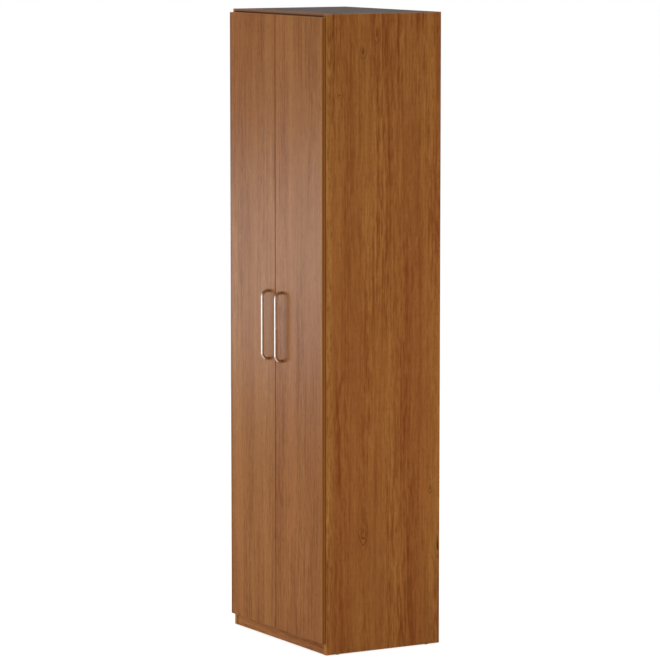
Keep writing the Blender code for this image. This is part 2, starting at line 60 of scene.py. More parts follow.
# %% [markdown]
# ## The camera
# The straight edges of the object in the picture fix the camera: a long lens far away, 60 degrees
# round to the right, above the top and looking a little down. A camera can be aimed with a
# constraint, but here its angles are known, so they are simply set. The picture is square, so the
# sensor's width gives the field of view both ways.

# %% Camera
IMAGE_WIDTH = IMAGE_HEIGHT = 660
FIELD_OF_VIEW = 10.0
SENSOR_WIDTH = 36.0
CAMERA_PLACE = (10.4342, -6.0266, 2.4117)
CAMERA_TURN = 59.993
CAMERA_DIP = 6.708
LEVEL_TILT = 90.0
FARTHEST_SEEN = 200.0

camera_data = bpy.data.cameras.new("picture_camera")
camera_data.sensor_width = SENSOR_WIDTH
camera_data.lens = SENSOR_WIDTH / (2 * tan(radians(FIELD_OF_VIEW / 2)))
camera_data.clip_end = FARTHEST_SEEN
camera = bpy.data.objects.new("picture_camera", camera_data)
camera.location = CAMERA_PLACE
camera.rotation_euler = (radians(LEVEL_TILT - CAMERA_DIP), 0.0, radians(CAMERA_TURN))
scene.collection.objects.link(camera)
scene.camera = camera
scene.view_settings.view_transform = "Standard"
print(f"lens {camera_data.lens:.1f} mm for {IMAGE_WIDTH} by {IMAGE_HEIGHT} pixels")

# %% [markdown]
# ## Small helpers for nodes
# A material is a tree of nodes. Written out by hand, each node takes four or five lines, so a few
# short functions do it here. The first places a node and feeds its inputs. The others build on it:
# sums, ranges with soft ends, mixed colours, stretched noise, and new groups and materials.

# %% Node helpers
def add(tree, kind, feeds=None, **settings):
    """New shader node. Feeds are values or sockets for its inputs, by name or number."""
    made = tree.nodes.new("ShaderNode" + kind)
    for name, value in settings.items():
        setattr(made, name, value)
    for key, value in (feeds or {}).items():
        if isinstance(value, bpy.types.NodeSocket):
            tree.links.new(value, made.inputs[key])
        else:
            made.inputs[key].default_value = value
    return made


def sums(tree, operation, *values):
    """Result of a Math node."""
    return add(tree, "Math", dict(enumerate(values)), operation=operation).outputs[0]


def remap(tree, value, low, high, to_low=0.0, to_high=1.0):
    """Value carried from one range to another, with soft ends."""
    feeds = {"Value": value, 1: low, 2: high, 3: to_low, 4: to_high}
    return add(tree, "MapRange", feeds, interpolation_type="SMOOTHSTEP").outputs[0]


def blend(tree, share, first, second, blend_type="MIX"):
    """Mix of two colours: share 0 gives the first and 1 the second."""
    feeds = {"Factor": share, 6: first, 7: second}
    return add(tree, "Mix", feeds, data_type="RGBA", blend_type=blend_type).outputs[2]


def noise(tree, vector, stretch, detail=1.0):
    """Noise with its own number of cycles in a metre along each axis."""
    scaled = add(tree, "VectorMath", {0: vector, 1: stretch}, operation="MULTIPLY").outputs[0]
    return add(tree, "TexNoise", {"Vector": scaled, "Scale": 1.0, "Detail": detail}).outputs["Fac"]


def new_group(name, inputs, outputs):
    """Shader node group with named sockets: inputs give kind and default, outputs give kind."""
    group = bpy.data.node_groups.new(name, "ShaderNodeTree")
    for socket, (kind, default) in inputs.items():
        made = group.interface.new_socket(socket, in_out="INPUT", socket_type="NodeSocket" + kind)
        made.default_value = default
    for socket, kind in outputs.items():
        group.interface.new_socket(socket, in_out="OUTPUT", socket_type="NodeSocket" + kind)
    start = group.nodes.new("NodeGroupInput").outputs
    end = group.nodes.new("NodeGroupOutput").inputs
    return group, start, end


def new_material(name):
    """New material, its node tree and its shader."""
    material = bpy.data.materials.new(name)
    material.use_nodes = True
    tree = material.node_tree
    return material, tree, tree.nodes["Principled BSDF"]


def object_place(tree):
    """Shaded point in the object's own coordinates."""
    return add(tree, "TexCoord").outputs["Object"]


PLACE = {"Place": ("Vector", (0.0, 0.0, 0.0))}
print("node helpers are ready")

# %% [markdown]
# ## White studio
# The backdrop is white: rays from the camera, and mirror rays, see a world of strength 1, while the
# light that falls on the object stays at a plain, weaker level. Polished metal only looks like metal
# where it has something darker to mirror, so to mirror rays the world changes with their heading:
# brown to the right of the doors and overhead, as in a room with its windows on one side, and cream
# below. The Light Path node tells the kinds of ray apart.

# %% World
AMBIENT = 0.55
BACKDROP_WHITE = (1.0, 1.0, 1.0, 1.0)
MIRRORED_SIDE = (0.30, 0.17, 0.10, 1.0)
MIRRORED_CEILING = (0.21, 0.13, 0.085, 1.0)
MIRRORED_FLOOR = (0.80, 0.66, 0.55, 1.0)
SIDE_ENDS = (0.54, 0.76)
POLE_ENDS = (0.22, 0.55)


def seen_directly(tree):
    """1 for camera, mirror and see-through rays, and 0 for the light that falls on things."""
    path = add(tree, "LightPath").outputs
    mirror = sums(tree, "MAXIMUM", path["Is Glossy Ray"], path["Is Transmission Ray"])
    return sums(tree, "MAXIMUM", path["Is Camera Ray"], mirror)


world = bpy.data.worlds.new("white_studio")
scene.world = world
world.use_nodes = True
tree = world.node_tree
heading = add(tree, "TexCoord").outputs["Generated"]
heading = add(tree, "SeparateXYZ", {0: heading}).outputs
below = sums(tree, "MULTIPLY", heading["Z"], -1.0)
mirror_ray = add(tree, "LightPath").outputs["Is Glossy Ray"]
shown = BACKDROP_WHITE
for reach, ends, mirrored in (
    (heading["X"], SIDE_ENDS, MIRRORED_SIDE),
    (heading["Z"], POLE_ENDS, MIRRORED_CEILING),
    (below, POLE_ENDS, MIRRORED_FLOOR),
):
    share = sums(tree, "MULTIPLY", remap(tree, reach, *ends), mirror_ray)
    shown = blend(tree, share, shown, mirrored)
strength = remap(tree, seen_directly(tree), 0.0, 1.0, AMBIENT, 1.0)
backdrop = tree.nodes["Background"]
tree.links.new(shown, backdrop.inputs["Color"])
tree.links.new(strength, backdrop.inputs["Strength"])
print("the world shows white at 1 and lights things at", AMBIENT)

# %% [markdown]
# ## Lamps
# A soft box stands to the left of the doors, a little below half height. The doors are satin, so
# they mirror it as a broad pale sheen across their middle, and the handles throw soft shadows to the
# right. A second, weaker box lights the side panel. Chrome would mirror both too brightly, so there
# is a card lamp for the handles alone, which is linked to them once they are made.

# %% Lamps
LAMPS = {
    # place, point it faces, width, height, watts
    "left_soft_box": ((-2.95, -2.45, 0.84), (0.0, -0.2, 1.0), 2.2, 0.9, 85.0),
    "right_soft_box": ((3.1, -0.44, 0.96), (0.3, 0.0, 1.0), 1.4, 0.9, 45.0),
    "handle_card": ((-0.78, -3.13, 0.67), (0.0, -0.23, 1.0), 3.6, 0.8, 9.0),
}
lamps = {}
for name, (lamp_place, aim, width, height, watts) in LAMPS.items():
    lamp_data = bpy.data.lights.new(name, "AREA")
    lamp_data.shape = "RECTANGLE"
    lamp_data.size = width
    lamp_data.size_y = height
    lamp_data.energy = watts
    lamp = bpy.data.objects.new(name, lamp_data)
    lamp.location = lamp_place
    lamp.rotation_euler = (Vector(aim) - Vector(lamp_place)).to_track_quat("-Z", "Y").to_euler()
    scene.collection.objects.link(lamp)
    lamps[name] = lamp
    print(name, "at", lamp_place, "with", watts, "watts")

# %% [markdown]
# ## From arrays to meshes
# Every new round piece is a sheet of points, worked out with numpy all at once: rings of points, one
# after another, joined by four-sided faces. A shape with ends closes there with a fan of triangles.
# If the faces come out pointing inwards, the volume they enclose is negative, and they are turned
# over. A second helper gives a finished piece its body, its finish and the CAD node it stands for.

# %% Surface helpers
def skin(name, rings, start=None, end=None, loop=False):
    """Mesh object over rings of points, shape (rings, points, 3), joined ring to ring.

    Start and end are poles that close the first and last ring. With loop, the last ring joins the
    first one instead.
    """
    count, around = rings.shape[:2]
    index = np.arange(count * around).reshape(count, around)
    follow = np.roll(index, -1, axis=0) if loop else index[1:]
    first = index if loop else index[:-1]
    quads = np.stack([first, np.roll(first, -1, 1), np.roll(follow, -1, 1), follow], axis=-1)
    points = rings.reshape(-1, 3)
    faces = quads.reshape(-1, 4).tolist()
    for pole, ring, order in ((start, index[0], 1), (end, index[-1], -1)):
        if pole is not None:
            tip = np.full(around, len(points))
            fan = np.stack([np.roll(ring, -1), ring, tip], axis=-1)[:, ::order]
            faces += fan.tolist()
            points = np.vstack([points, pole])
    mesh = bpy.data.meshes.new(name)
    mesh.from_pydata(points, [], faces)
    mesh.calc_loop_triangles()
    corners = np.empty(len(mesh.loop_triangles) * 3, dtype=np.int32)
    mesh.loop_triangles.foreach_get("vertices", corners)
    one, two, three = points[corners.reshape(-1, 3)].transpose(1, 0, 2)
    if np.einsum("ij,ij->i", one, np.cross(two, three)).sum() < 0:
        mesh.flip_normals()
    mesh.shade_smooth()
    obj = bpy.data.objects.new(name, mesh)
    scene.collection.objects.link(obj)
    return obj


def dress(obj, body, slot, material, *replaced):
    """Gives a piece its body and finish, and the CAD nodes that it stands for. The slot argument is
    not used.
    """
    obj.data.materials.append(material)
    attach(obj, body)
    if replaced:
        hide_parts(*replaced)
    print(f"{obj.name}: {len(obj.data.polygons)} faces on {body}")


print("surface helpers are ready")

# %% [markdown]
# ## Floor
# A white floor takes the soft shadow under the wardrobe. By itself it would look grey against the
# backdrop, so it glows a little, but only to the rays that see it directly. Mirror rays miss it, and
# see the world's cream instead.

# %% Floor
FLOOR_RADIUS = 6.0
FLOOR_INNER_RING = 0.5
FLOOR_RINGS = 12
FLOOR_SIDES = 96
FLOOR_GLOW = 0.62
FLOOR_GREY = (0.8, 0.8, 0.8, 1.0)
FLOOR_ROUGHNESS = 0.9
floor_turn = np.linspace(0, 2 * pi, FLOOR_SIDES, endpoint=False)
floor_reach = np.linspace(FLOOR_INNER_RING, FLOOR_RADIUS, FLOOR_RINGS)[:, None]
floor_x = floor_reach * np.cos(floor_turn)
floor_y = floor_reach * np.sin(floor_turn)
floor_rings = np.stack([floor_x, floor_y, np.zeros_like(floor_x)], axis=-1)
floor = skin("studio_floor", floor_rings, start=np.zeros(3))
floor_material, tree, shader = new_material("white_floor")
shader.inputs["Base Color"].default_value = FLOOR_GREY
shader.inputs["Roughness"].default_value = FLOOR_ROUGHNESS
shader.inputs["Specular IOR Level"].default_value = 0.0
shader.inputs["Emission Color"].default_value = BACKDROP_WHITE
glow = sums(tree, "MULTIPLY", seen_directly(tree), FLOOR_GLOW)
tree.links.new(glow, shader.inputs["Emission Strength"])
floor.data.materials.append(floor_material)
floor.visible_glossy = False
print("floor reaches", FLOOR_RADIUS, "metres")

# %% [markdown]
# ## Wood grain
# The boards are faced with printed wood: long streaks that run up the board. Noise that is stretched
# along one axis gives streaks, and layers of it, from hand-wide bands to pores of about a millimetre,
# together read as wood. A slow sideways wander keeps the lines from being ruler straight. The group
# takes a place as (across, through, along) the grain, so that one group serves every board.

# %% Grain group
GRAIN_LAYERS = {
    # cycles in a metre across and along the grain
    "tint": (11.0, 0.6),
    "plank": (8.0, 0.5),
    "figure": (21.0, 1.2),
    "stripe": (50.0, 3.6),
    "line": (112.0, 7.5),
    "fibre": (185.0, 13.0),
    "pore": (900.0, 55.0),
    "patch": (14.0, 1.1),
}
GRAIN_ENDS = {
    # levels of the noise that become 0 and 1
    "Tint": (0.3, 0.7),
    "Band": (0.36, 0.64),
    "Streak": (0.376, 0.644),
    "Fibre": (0.376, 0.644),
    "Pore": (0.56, 0.72),
}
MIXED_LAYERS = ("stripe", "line", "fibre")
GRAIN_LENGTHS = ((1.0, 0.38), (1.07, 1.9))
WANDER_CYCLES = (5.0, 5.0, 1.6)
WANDER_WIDTH = 0.012
LINE_SHARE = 0.65
PATCH_ENDS = (0.34, 0.64)
WEAKEST_PATCH = 0.5

grain_group, start, end = new_group(
    "wood_grain",
    {**PLACE, "Wander": ("Float", WANDER_WIDTH)},
    {socket: "Float" for socket in GRAIN_ENDS},
)
drift = sums(grain_group, "SUBTRACT", noise(grain_group, start["Place"], WANDER_CYCLES, 2.0), 0.5)
drift = sums(grain_group, "MULTIPLY", drift, start["Wander"])
sideways = add(grain_group, "CombineXYZ", {"X": drift}).outputs[0]
bent = add(grain_group, "VectorMath", {0: start["Place"], 1: sideways}, operation="ADD").outputs[0]


def mean(tree, first, second):
    """Mean of two values."""
    return sums(tree, "MULTIPLY", sums(tree, "ADD", first, second), 0.5)


def grain_layer(layer):
    """Stretched noise. Where wood has both long lines and flecks, the mean of two lengths of it."""
    across, along = GRAIN_LAYERS[layer]
    if layer not in MIXED_LAYERS:
        return noise(grain_group, bent, (across, across, along))
    lengths = [
        noise(grain_group, bent, (wide * across, wide * across, share * along))
        for wide, share in GRAIN_LENGTHS
    ]
    return mean(grain_group, *lengths)


layers = {layer: grain_layer(layer) for layer in GRAIN_LAYERS}
stripes = sums(grain_group, "MULTIPLY", layers["stripe"], 1.0 - LINE_SHARE)
patchy = remap(grain_group, layers["patch"], *PATCH_ENDS, WEAKEST_PATCH, 1.0)
for socket, value in {
    "Tint": layers["tint"],
    "Band": mean(grain_group, layers["plank"], layers["figure"]),
    "Streak": sums(grain_group, "MULTIPLY_ADD", layers["line"], LINE_SHARE, stripes),
    "Fibre": layers["fibre"],
    "Pore": layers["pore"],
}.items():
    shade = remap(grain_group, value, *GRAIN_ENDS[socket])
    if socket in ("Streak", "Fibre"):
        shade = sums(grain_group, "MULTIPLY", shade, patchy)
    grain_group.links.new(shade, end[socket])
print("grain group has", len(grain_group.nodes), "nodes")

# %% [markdown]
# ## Knots
# Here and there a branch has left an eye in the wood: arcs that are stretched along the grain, with
# the lines flowing round it. The group measures how far a place is from the eye, as an egg that is
# blunt below and long above, and gives three things: the place with the grain pushed aside, the arcs,
# and the dark core. A little noise in the distance keeps the arcs from looking drawn with a compass.

# %% Knot group
EGG_TOP = 0.6
EYE_SPREAD = 0.9
GRAIN_PUSH = 0.75
WOBBLE_CYCLES = (150.0, 150.0, 45.0)
WOBBLE_SHARE = 0.6
ARC_ENDS = (-0.2, 1.0)
ARC_REACH = 1.7
ARC_HEIGHTS = (0.9, -0.4)
FAINTEST_ARC = 0.12
CORE_ENDS = (0.3, 0.9)

knot_group, start, end = new_group(
    "wood_knot",
    {
        **PLACE,
        "Across": ("Float", 0.0),
        "Along": ("Float", 0.0),
        "Width": ("Float", 0.02),
        "Length": ("Float", 0.06),
        "Rings": ("Float", 3.0),
    },
    {"Pushed": "Vector", "Ring": "Float", "Core": "Float"},
)
tree = knot_group
place = add(tree, "SeparateXYZ", {0: start["Place"]}).outputs
from_eye = sums(tree, "SUBTRACT", place["X"], start["Across"])
aside = sums(tree, "DIVIDE", from_eye, start["Width"])
above = sums(tree, "SUBTRACT", place["Z"], start["Along"])
above = sums(tree, "DIVIDE", above, start["Length"])
lower_half = remap(tree, above, *ARC_HEIGHTS, FAINTEST_ARC, 1.0)
long_top = sums(tree, "MULTIPLY", above, EGG_TOP)
blunt_foot = sums(tree, "MULTIPLY", above, -1.0)
egg = sums(tree, "MAXIMUM", long_top, blunt_foot)
squared = sums(tree, "MULTIPLY_ADD", aside, aside, sums(tree, "MULTIPLY", egg, egg))
nearness = sums(tree, "EXPONENT", sums(tree, "MULTIPLY", squared, -EYE_SPREAD))
push = sums(tree, "MULTIPLY", sums(tree, "MULTIPLY", from_eye, nearness), -GRAIN_PUSH)
pushed = {"X": sums(tree, "ADD", place["X"], push), "Y": place["Y"], "Z": place["Z"]}
wobble = noise(tree, start["Place"], WOBBLE_CYCLES, 2.0)
wobble = sums(tree, "SUBTRACT", wobble, 0.5)
away = sums(tree, "MULTIPLY_ADD", wobble, WOBBLE_SHARE, sums(tree, "SQRT", squared))
turns = sums(tree, "MULTIPLY", sums(tree, "MULTIPLY", away, 2 * pi), start["Rings"])
ripple = remap(tree, sums(tree, "SINE", turns), *ARC_ENDS)
shown_near = sums(tree, "MINIMUM", sums(tree, "MULTIPLY", nearness, ARC_REACH), 1.0)
ring = sums(tree, "MULTIPLY", ripple, shown_near)
ring = sums(tree, "MULTIPLY", ring, lower_half)
tree.links.new(add(tree, "CombineXYZ", pushed).outputs[0], end["Pushed"])
tree.links.new(ring, end["Ring"])
tree.links.new(remap(tree, away, *CORE_ENDS, 1.0, 0.0), end["Core"])
print("knot group has", len(knot_group.nodes), "nodes")

# %% [markdown]
# ## Faces of a board
# A laminated board has two printed faces and four cut edges, and the edges look different: banded
# with a strip where they show, and raw chipboard where they don't. The boards stand square to the
# axes, so a place belongs to an edge when it lies within a hair of the board's own low or high corner
# along that axis. The group gives a mask for each of the six faces.

# %% Faces group
FACE_DEPTH = 0.0006

faces_group, start, end = new_group(
    "board_faces",
    {
        **PLACE,
        "Low": ("Vector", (0.0, 0.0, 0.0)),
        "High": ("Vector", (1.0, 1.0, 1.0)),
        "Rim": ("Float", FACE_DEPTH),
    },
    {"Low faces": "Vector", "High faces": "Vector"},
)
tree = faces_group
for socket, (greater, lesser) in {
    "Low faces": ("Place", "Low"),
    "High faces": ("High", "Place"),
}.items():
    ends = {0: start[greater], 1: start[lesser]}
    inside = add(tree, "VectorMath", ends, operation="SUBTRACT").outputs[0]
    depths = add(tree, "SeparateXYZ", {0: inside}).outputs
    masks = {axis: sums(tree, "LESS_THAN", depths[axis], start["Rim"]) for axis in "XYZ"}
    tree.links.new(add(tree, "CombineXYZ", masks).outputs[0], end[socket])
print("faces group has", len(faces_group.nodes), "nodes")

# %% [markdown]
# ## Raw chipboard, and dust with painted sheen
# Chipboard is pressed from chips, so its cut edge is a mosaic of pale and brown flakes: Voronoi cells
# of random shade, about two millimetres across. A grey film lies on the top, out of reach, partly dust
# and partly painted sheen, and it is thin in places.

# %% Chipboard and dust-and-sheen groups
CHIP_CYCLES = (420.0, 420.0, 420.0)
CHIP_PALE = (0.44, 0.27, 0.14, 1.0)
CHIP_BROWN = (0.24, 0.125, 0.06, 1.0)
FILM_CYCLES = (7.0, 7.0, 7.0)
FILM_ENDS = (0.25, 0.6)
THINNEST_FILM = 0.7
SPECK_CYCLES = (900.0, 900.0, 900.0)

chip_group, start, end = new_group("chipboard", PLACE, {"Colour": "Color"})
sized = {0: start["Place"], 1: CHIP_CYCLES}
sized = add(chip_group, "VectorMath", sized, operation="MULTIPLY").outputs[0]
chips = add(chip_group, "TexVoronoi", {"Vector": sized, "Scale": 1.0}).outputs
shade = add(chip_group, "SeparateColor", {0: chips["Color"]}).outputs[0]
chip_group.links.new(blend(chip_group, shade, CHIP_PALE, CHIP_BROWN), end["Colour"])

dust_and_sheen_group, start, end = new_group("dust_and_sheen_film", PLACE, {"Cover": "Float", "Speck": "Float"})
film = noise(dust_and_sheen_group, start["Place"], FILM_CYCLES, 4.0)
dust_and_sheen_group.links.new(remap(dust_and_sheen_group, film, *FILM_ENDS, THINNEST_FILM, 1.0), end["Cover"])
dust_and_sheen_group.links.new(noise(dust_and_sheen_group, start["Place"], SPECK_CYCLES), end["Speck"])
print("chipboard and dust groups are ready")

# %% [markdown]
# ## Printed wood
# Two helpers finish the print. One flows the grain past each of a board's knots in turn. The other
# lays a margin of paler sapwood along the front of a side panel, with small dark curls in it.

# %% Knots and sapwood
SAPWOOD_CAST = (1.15, 1.30, 1.22, 1.0)
SAPWOOD_LEAST = 0.85
SAPWOOD_VARIES = 0.3
SAPWOOD_ENDS = (0.75, 1.15)
SWIRL_CYCLES = (150.0, 150.0, 26.0)
SWIRL_ENDS = (0.5, 0.64)
SWIRL_SHARE = 0.4


def knotted(tree, turned, knots):
    """Place with the grain pushed aside by each knot, and how dark the knots make it."""
    marks = 0.0
    for across, along, width, length, rings, arcs, core in knots:
        feeds = {
            "Place": turned,
            "Across": across,
            "Along": along,
            "Width": width,
            "Length": length,
            "Rings": rings,
        }
        knot = add(tree, "Group", feeds, node_tree=knot_group).outputs
        turned = knot["Pushed"]
        eye = sums(tree, "MULTIPLY", knot["Core"], core)
        marks = sums(tree, "MAXIMUM", marks, sums(tree, "MULTIPLY_ADD", knot["Ring"], arcs, eye))
    return turned, marks


def sapwood_margin(tree, wood, turned, from_front, width):
    """Mask of the pale margin, whose width varies with the tint, and of the curls in it."""
    reach = sums(tree, "MULTIPLY_ADD", wood["Tint"], SAPWOOD_VARIES * width, SAPWOOD_LEAST * width)
    margin = remap(tree, sums(tree, "DIVIDE", from_front, reach), *SAPWOOD_ENDS, 1.0, 0.0)
    swirl = remap(tree, noise(tree, turned, SWIRL_CYCLES, 2.0), *SWIRL_ENDS, 0.0, SWIRL_SHARE)
    return margin, sums(tree, "MULTIPLY", swirl, margin)


print("knots and sapwood are ready")

# %% [markdown]
# ## Edge bands, dust and painted light on a board
# An edge band is a glued strip. A door's is paler along both of its corners. Along the back corner,
# beside the gap behind the door, that is painted light against the gap's shade. The one on the top's
# front is painted lighter against the shadow that the door throws on it, apart from a painted shadow
# line just above the door. A grey film of dust and painted sheen covers the top. It is thinner towards
# its front edge, and a little of it spills over the other edges.

# %% Bands, dust and painted light
PORE_BROWN = (0.085, 0.026, 0.006, 1.0)
BAND_STREAKS = 0.4
# Pale corners of a door's edge band: the back one, beside the gap behind the door, is painted light
# against the gap's shade.
FRONT_PALE_CORNER = (0.001, 0.0045)
BACK_LIT_CORNER = (0.006, 0.0115)
# Depths below the top of the painted shadow line: a dark strip where the gap above the door lies in
# shade.
PAINTED_SHADOW_LINE = (0.0066, 0.0094)
SHADOW_LINE_SOFTNESS = 0.001
# Grey film on the top: partly dust and partly painted sheen. It thins towards the front edge.
DUST_AND_SHEEN_GREY = (0.195, 0.166, 0.150, 1.0)
DUST_AND_SHEEN_PALE = (0.270, 0.237, 0.217, 1.0)
FRONT_THINNING_ENDS = (0.005, 0.085)
FRONT_THINNING_SHARE = 0.12
SPILL_ENDS = (0.0005, 0.005)
SPILL_SHARE = 0.3


def face_mask(tree, faces, names):
    """Largest of the masks of the named faces, such as "y-" for the low Y face."""
    total = 0.0
    for name in names:
        side = faces["Low faces" if name[1] == "-" else "High faces"]
        mask = add(tree, "SeparateXYZ", {0: side}).outputs[name[0].upper()]
        total = sums(tree, "MAXIMUM", total, mask)
    return total


def edge_band(tree, wood, from_front, below_top, colour, pale_corners, lightened):
    """Colour of an edge band: streaked, paler at the corners where that colour is given, and painted
    lighter apart from a painted shadow line where that colour is given.
    """
    banded = blend(tree, sums(tree, "MULTIPLY", wood["Streak"], BAND_STREAKS), colour, PORE_BROWN)
    # Painted light at the back corner of a door's band, against the gap's shade. The front corner is
    # paler too.
    if pale_corners:
        front = remap(tree, from_front, *FRONT_PALE_CORNER, 1.0, 0.0)
        corners = sums(tree, "MAXIMUM", front, remap(tree, from_front, *BACK_LIT_CORNER))
        banded = blend(tree, corners, banded, pale_corners)
    if lightened:
        # Painted light and shade: the band is painted lighter against the shadow the door throws on
        # it, apart from a dark painted shadow line.
        line_top, line_foot = (
            remap(tree, below_top, edge - SHADOW_LINE_SOFTNESS, edge + SHADOW_LINE_SOFTNESS)
            for edge in PAINTED_SHADOW_LINE
        )
        banded = blend(tree, sums(tree, "SUBTRACT", line_top, line_foot), lightened, banded)
    return banded


def dust_and_sheen_cover(tree, faces, film, from_front, below_top, dust_and_sheen_faces):
    """How much of the grey film of dust and painted sheen covers a place: all over the named faces,
    thinner towards the front edge, and thinly just below them.
    """
    thinned_front = remap(tree, from_front, *FRONT_THINNING_ENDS, FRONT_THINNING_SHARE, 1.0)
    lying = sums(tree, "MULTIPLY", face_mask(tree, faces, dust_and_sheen_faces), thinned_front)
    spilled = remap(tree, below_top, *SPILL_ENDS, SPILL_SHARE, 0.0)
    behind = sums(tree, "SUBTRACT", 1.0, face_mask(tree, faces, ("y-",)))
    spilled = sums(tree, "MULTIPLY", spilled, behind)
    return sums(tree, "MULTIPLY", sums(tree, "MAXIMUM", lying, spilled), film["Cover"])


print("bands and dust are ready")

# %% [markdown]
# ## Laminate
# One function makes the finish of any board. It turns the place so that the grain runs along the
# board, flows it past the board's knots, mixes a light and a deep brown by the broad bands, and
# darkens it along the fine streaks and pores. Then it lays edge bands, chipboard, painted light on the
# doors' top faces, and a grey film of dust and painted sheen over it by face.
# The streaks and pores are also pressed into the surface, by less than a tenth of a millimetre.

# %% Laminate
# Front edge band of the carcass boards, painted lighter than the band's own brown against the shade in
# the narrow gaps behind the doors.
LIGHTENED_FRONT_BAND = (0.410, 0.160, 0.044, 1.0)
STREAK_BROWN = (0.156, 0.0415, 0.0088, 1.0)
YELLOW_CAST = (1.025, 1.065, 1.05, 1.0)
RED_CAST = (0.985, 0.925, 0.95, 1.0)
PORE_SHARE = 0.5
RIM_ENDS = (0.002, 0.018)
SATIN = 0.31
STREAK_ROUGHNESS = 0.03
CHIP_ROUGHNESS = 0.45
DUST_ROUGHNESS = 0.5
LAMINATE_GLOSS = 0.021
PRESSED_DEPTH = -0.00005
PRESSED_STRENGTH = 0.2


def laminate(
    name, node, grain, browns, streaks=0.55, fibres=0.6, knots=(), sapwood=0.0, rim=0.0,
    band=(), band_colour=LIGHTENED_FRONT_BAND, band_pale_corners=None, band_lightened=None, lightened_top=None,
    raw=(), dust_and_sheen_faces=(),
):
    """Wood laminate for one board. Grain names its axes: across, through and along the grain."""
    material, tree, shader = new_material(name)
    low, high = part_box(node)
    place = object_place(tree)
    axes = add(tree, "SeparateXYZ", {0: place}).outputs
    from_front = sums(tree, "SUBTRACT", axes["Y"], low.y)
    below_top = sums(tree, "SUBTRACT", high.z, axes["Z"])
    turned = add(tree, "CombineXYZ", {to: axes[axis] for to, axis in zip("XYZ", grain)}).outputs[0]
    turned, marks = knotted(tree, turned, knots)
    wood = add(tree, "Group", {"Place": turned}, node_tree=grain_group).outputs
    cast = blend(tree, wood["Tint"], YELLOW_CAST, RED_CAST)
    colour = blend(tree, 1.0, blend(tree, wood["Band"], *browns), cast, "MULTIPLY")
    if sapwood:
        margin, curls = sapwood_margin(tree, wood, turned, from_front, sapwood)
        pale = blend(tree, 1.0, colour, SAPWOOD_CAST, "MULTIPLY")
        colour = blend(tree, margin, colour, pale)
        marks = sums(tree, "MAXIMUM", marks, curls)
    lined = sums(tree, "MULTIPLY", wood["Streak"], streaks)
    lined = sums(tree, "MULTIPLY_ADD", wood["Fibre"], fibres, lined)
    pitted = sums(tree, "MULTIPLY", wood["Pore"], PORE_SHARE)
    colour = blend(tree, lined, colour, STREAK_BROWN)
    colour = blend(tree, sums(tree, "MAXIMUM", pitted, marks), colour, PORE_BROWN)
    if rim:
        from_rim = sums(tree, "SUBTRACT", axes["X"], low.x)
        colour = blend(tree, remap(tree, from_rim, *RIM_ENDS, rim, 0.0), colour, PORE_BROWN)
    corners = {"Place": place, "Low": low, "High": high}
    faces = add(tree, "Group", corners, node_tree=faces_group).outputs
    rough = sums(tree, "MULTIPLY_ADD", wood["Streak"], STREAK_ROUGHNESS, SATIN)
    if band:
        strip = edge_band(tree, wood, from_front, below_top, band_colour, band_pale_corners, band_lightened)
        colour = blend(tree, face_mask(tree, faces, band), colour, strip)
    # Painted light: a door's top face is painted much lighter, against the shade under the top panel.
    if lightened_top:
        colour = blend(tree, face_mask(tree, faces, ("z+",)), colour, lightened_top)
    if raw:
        chips = add(tree, "Group", {"Place": place}, node_tree=chip_group).outputs
        bare = face_mask(tree, faces, raw)
        colour = blend(tree, bare, colour, chips["Colour"])
        rough = sums(tree, "MULTIPLY_ADD", bare, CHIP_ROUGHNESS, rough)
    # The top's grey film is partly dust and partly painted sheen.
    if dust_and_sheen_faces:
        film = add(tree, "Group", {"Place": place}, node_tree=dust_and_sheen_group).outputs
        cover = dust_and_sheen_cover(tree, faces, film, from_front, below_top, dust_and_sheen_faces)
        colour = blend(tree, cover, colour, blend(tree, film["Speck"], DUST_AND_SHEEN_GREY, DUST_AND_SHEEN_PALE))
        rough = sums(tree, "MULTIPLY_ADD", cover, DUST_ROUGHNESS, rough)
    tree.links.new(colour, shader.inputs["Base Color"])
    tree.links.new(rough, shader.inputs["Roughness"])
    shader.inputs["Specular IOR Level"].default_value = LAMINATE_GLOSS
    pressed = {"Height": sums(tree, "ADD", pitted, lined)}
    pressed.update(Distance=PRESSED_DEPTH, Strength=PRESSED_STRENGTH)
    tree.links.new(add(tree, "Bump", pressed).outputs[0], shader.inputs["Normal"])
    return material


print("laminate is ready")

# %% [markdown]
# ## Boards
# Each board has its own settings: which way its grain runs, its two browns, which edges are banded
# and which are raw. The right side has its knots where the picture shows them, and the left side has
# two that are made up. The doors are a little paler than the carcass, and their grain is quieter.

# %% Boards
RIGHT_SIDE_KNOTS = (
    # across (Y), along (Z), width, length, rings, darkness of the arcs and of the core
    (-0.0525, 0.388, 0.018, 0.048, 2.5, 0.72, 0.0),
    (-0.0047, 1.9546, 0.011, 0.026, 1.2, 0.62, 0.22),
    (-0.0553, 1.9012, 0.011, 0.018, 1.0, 0.60, 0.22),
    (-0.1399, 1.766, 0.014, 0.007, 1.0, 0.52, 0.16),
    (0.0594, 1.722, 0.010, 0.012, 1.0, 0.25, 0.06),
    (-0.1231, 0.4935, 0.006, 0.010, 1.0, 0.62, 0.22),
    (0.1943, 0.5063, 0.008, 0.018, 1.3, 0.62, 0.18),
    (0.0718, 0.3811, 0.008, 0.008, 1.0, 0.25, 0.05),
    (0.1131, 0.2161, 0.006, 0.036, 1.0, 0.50, 0.15),
    (0.2230, 0.3180, 0.008, 0.030, 1.0, 0.95, 0.50),
)
LEFT_SIDE_KNOTS = (
    (0.07, 1.32, 0.014, 0.05, 2.4, 0.95, 0.0),
    (-0.09, 0.41, 0.006, 0.014, 1.2, 0.45, 0.12),
)
ALONG_X = "YZX"
UPRIGHT = "YXZ"
PLINTH_GRAIN = "ZYX"
FRONT_UPRIGHT = "XYZ"
